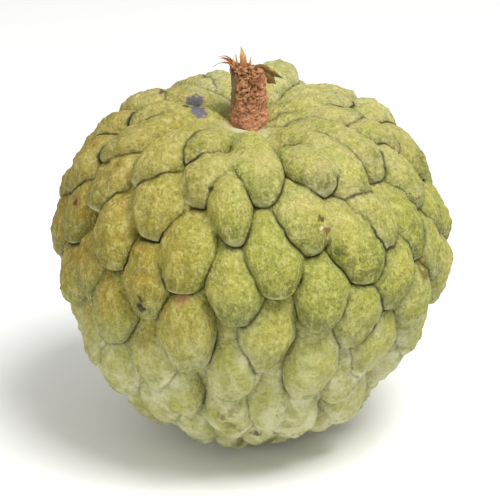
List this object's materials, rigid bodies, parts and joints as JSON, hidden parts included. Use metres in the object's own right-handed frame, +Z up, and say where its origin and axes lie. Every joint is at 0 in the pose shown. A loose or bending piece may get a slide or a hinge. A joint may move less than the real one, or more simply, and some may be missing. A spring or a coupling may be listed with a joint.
{
  "type": "custard apple",
  "caption": "Whole custard apple (sugar apple): a round green fruit covered in overlapping knobbly scales, with a short torn brown stem.",
  "frame": {"origin": "middle of the flat spot that the fruit rests on, at the blossom end", "axes": "+Z up through the fruit from the blossom end to the stem, -Y towards the fruit's best side, +X to the right of it"},
  "size_m": [0.0889, 0.0879, 0.0942],
  "materials": {
    "skin": "matt fleshy green skin with a pale bloom and ochre tints",
    "bark": "rough reddish brown bark, torn to pale wood at the top"
  },
  "bodies": {
    "root": {"fruit": "skin", "stem": "bark"}
  },
  "joints": []
}
